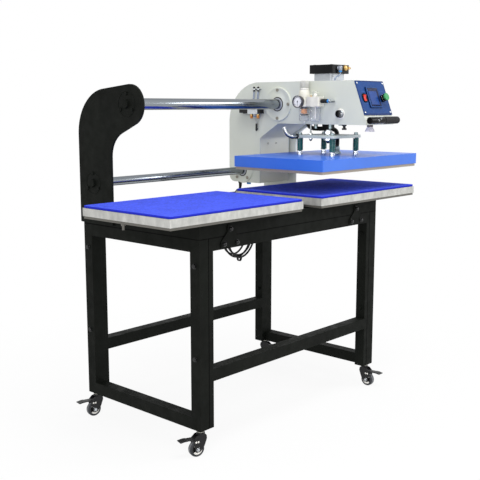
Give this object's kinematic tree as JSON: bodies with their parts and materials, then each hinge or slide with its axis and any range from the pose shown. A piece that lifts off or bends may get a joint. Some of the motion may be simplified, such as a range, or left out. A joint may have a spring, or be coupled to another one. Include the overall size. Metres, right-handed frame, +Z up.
{
  "type": "pneumatic heat press",
  "caption": "Pneumatic heat press on a black tube stand with casters: a press head slides on chrome shafts between lower platens",
  "frame": {"origin": "on the floor, under the middle of the bounding box without the mains cord", "axes": "+X to the right along the guide shafts, +Y to the back, +Z up"},
  "size_m": [1.302, 0.7864, 1.2375],
  "materials": {
    "black_paint": "satin powder coat",
    "chrome": "hard chrome, polished",
    "backing_steel": "thin grey paint",
    "platen_aluminium": "milled",
    "blue_pad": "silicone foam with a fine cloth face",
    "zinc_steel": "zinc plated",
    "black_plastic": "moulded",
    "wheel_rubber": "smooth tyre",
    "head_paint": "satin",
    "throat_paint": "satin",
    "panel_blue": "overlay film",
    "cylinder_aluminium": "anodised",
    "cap_black": "black anodised",
    "brass": "turned",
    "cream_body": "moulded",
    "clear_bowl": "clear",
    "gauge_chrome": "polished",
    "needle_black": "matt",
    "red_rocker": "moulded",
    "green_cap": "moulded",
    "spring_green": "lacquered",
    "cover_blue": "satin",
    "cable_black": "smooth jacket"
  },
  "bodies": {
    "stand": {"end_frame_left": "black_paint", "end_frame_right": "black_paint", "front_frame": "black_paint", "back_frame": "black_paint", "base_frame": "black_paint", "joint_plates_and_bolts": "black_paint", "guide_plate_left": "black_paint", "guide_plate_right": "head_paint", "guide_shafts": "chrome", "platen_backings": "backing_steel", "lower_platen_left": "platen_aluminium", "lower_platen_right": "platen_aluminium", "platen_pad_left": "blue_pad", "platen_pad_right": "blue_pad", "caster_stems": "zinc_steel"},
    "head": {"head_side_left": "head_paint", "head_side_right": "head_paint", "head_top_cover": "head_paint", "throat_cover": "throat_paint", "arm_floor": "head_paint", "shaft_bearings": "zinc_steel", "control_panel": "panel_blue", "touch_screen": "panel_blue", "switch_housings": "black_plastic", "handle_bar": "black_plastic", "work_lamp": "black_plastic", "cylinder_barrel": "cylinder_aluminium", "cylinder_caps": "cap_black", "ports_and_glands": "brass", "air_unit": "cream_body", "air_bowls": "clear_bowl", "pressure_gauge": "gauge_chrome", "valve_block": "cylinder_aluminium", "power_cord": "cable_black", "cord_hank": "cable_black", "mains_plug": "black_plastic"},
    "press": {"piston_rod": "chrome", "cross_plate": "zinc_steel", "press_springs": "spring_green", "spring_bolts": "zinc_steel", "heater_cover": "cover_blue", "heat_platen": "platen_aluminium", "heater_hose": "black_plastic"},
    "caster_fl": {"caster_housing_fl": "black_plastic"},
    "wheel_fl": {"caster_wheel_fl": "wheel_rubber"},
    "brake_fl": {"caster_brake_fl": "black_plastic"},
    "caster_bl": {"caster_housing_bl": "black_plastic"},
    "wheel_bl": {"caster_wheel_bl": "wheel_rubber"},
    "brake_bl": {"caster_brake_bl": "black_plastic"},
    "caster_fr": {"caster_housing_fr": "black_plastic"},
    "wheel_fr": {"caster_wheel_fr": "wheel_rubber"},
    "brake_fr": {"caster_brake_fr": "black_plastic"},
    "caster_br": {"caster_housing_br": "black_plastic"},
    "wheel_br": {"caster_wheel_br": "wheel_rubber"},
    "brake_br": {"caster_brake_br": "black_plastic"},
    "rocker": {"rocker_switch": "red_rocker"},
    "start": {"start_button": "green_cap"},
    "regulator": {"regulator_knob": "cream_body"},
    "needle": {"gauge_needle": "needle_black"},
    "flow": {"flow_knob": "black_plastic"}
  },
  "joints": [
    {"name": "head_slide", "type": "slide", "parent": "stand", "child": "head", "axis": [1, 0, 0], "range_m": [-0.7, 0]},
    {"name": "press_stroke", "type": "slide", "parent": "head", "child": "press", "axis": [0, 0, -1], "range_m": [0, 0.072]},
    {"name": "caster_swivel_fl", "type": "hinge", "parent": "stand", "child": "caster_fl", "pos_m": [-0.457, -0.2015, 0.07], "axis": [0, 0, 1], "continuous": true},
    {"name": "wheel_spin_fl", "type": "hinge", "parent": "caster_fl", "child": "wheel_fl", "pos_m": [-0.47222, -0.19656, 0.025], "axis": [-0.309, -0.9511, 0], "continuous": true},
    {"name": "brake_lever_fl", "type": "hinge", "parent": "caster_fl", "child": "brake_fl", "pos_m": [-0.46936, -0.19748, 0.059], "axis": [0.309, 0.9511, 0], "range_deg": [0, 14]},
    {"name": "caster_swivel_bl", "type": "hinge", "parent": "stand", "child": "caster_bl", "pos_m": [-0.457, 0.3185, 0.07], "axis": [0, 0, 1], "continuous": true},
    {"name": "wheel_spin_bl", "type": "hinge", "parent": "caster_bl", "child": "wheel_bl", "pos_m": [-0.47276, 0.32128, 0.025], "axis": [-0.1736, -0.9848, 0], "continuous": true},
    {"name": "brake_lever_bl", "type": "hinge", "parent": "caster_bl", "child": "brake_bl", "pos_m": [-0.4698, 0.32076, 0.059], "axis": [0.1736, 0.9848, 0], "range_deg": [0, 14]},
    {"name": "caster_swivel_fr", "type": "hinge", "parent": "stand", "child": "caster_fr", "pos_m": [0.457, -0.2015, 0.07], "axis": [0, 0, 1], "continuous": true},
    {"name": "wheel_spin_fr", "type": "hinge", "parent": "caster_fr", "child": "wheel_fr", "pos_m": [0.457, -0.2175, 0.025], "axis": [1, 0, 0], "continuous": true},
    {"name": "brake_lever_fr", "type": "hinge", "parent": "caster_fr", "child": "brake_fr", "pos_m": [0.457, -0.2145, 0.059], "axis": [-1, 0, 0], "range_deg": [0, 14]},
    {"name": "caster_swivel_br", "type": "hinge", "parent": "stand", "child": "caster_br", "pos_m": [0.457, 0.3185, 0.07], "axis": [0, 0, 1], "continuous": true},
    {"name": "wheel_spin_br", "type": "hinge", "parent": "caster_br", "child": "wheel_br", "pos_m": [0.46247, 0.30346, 0.025], "axis": [0.9397, 0.342, 0], "continuous": true},
    {"name": "brake_lever_br", "type": "hinge", "parent": "caster_br", "child": "brake_br", "pos_m": [0.46145, 0.30628, 0.059], "axis": [-0.9397, -0.342, 0], "range_deg": [0, 14]},
    {"name": "rocker_tilt", "type": "hinge", "parent": "head", "child": "rocker", "pos_m": [0.295, -0.27853, 1.1153], "axis": [-1, 0, 0], "range_deg": [0, 16]},
    {"name": "start_press", "type": "slide", "parent": "head", "child": "start", "axis": [0, 0.9341, -0.357], "range_m": [0, 0.003], "stiffness_N_per_m": 300, "springref_m": -0.002},
    {"name": "regulator_turn", "type": "hinge", "parent": "head", "child": "regulator", "pos_m": [0.2345, -0.0575, 1.146], "axis": [0, 0, 1], "range_deg": [-720, 720]},
    {"name": "gauge_sweep", "type": "hinge", "parent": "head", "child": "needle", "pos_m": [0.1905, -0.0575, 1.103], "axis": [1, 0, 0], "range_deg": [-135, 135]},
    {"name": "flow_turn", "type": "hinge", "parent": "head", "child": "flow", "pos_m": [0.265, -0.1995, 1.06], "axis": [-1, 0, 0], "range_deg": [-150, 150]}
  ],
  "couplings": [
    {"joint": "gauge_sweep", "follows": "regulator_turn", "ratio": 0.1875}
  ]
}
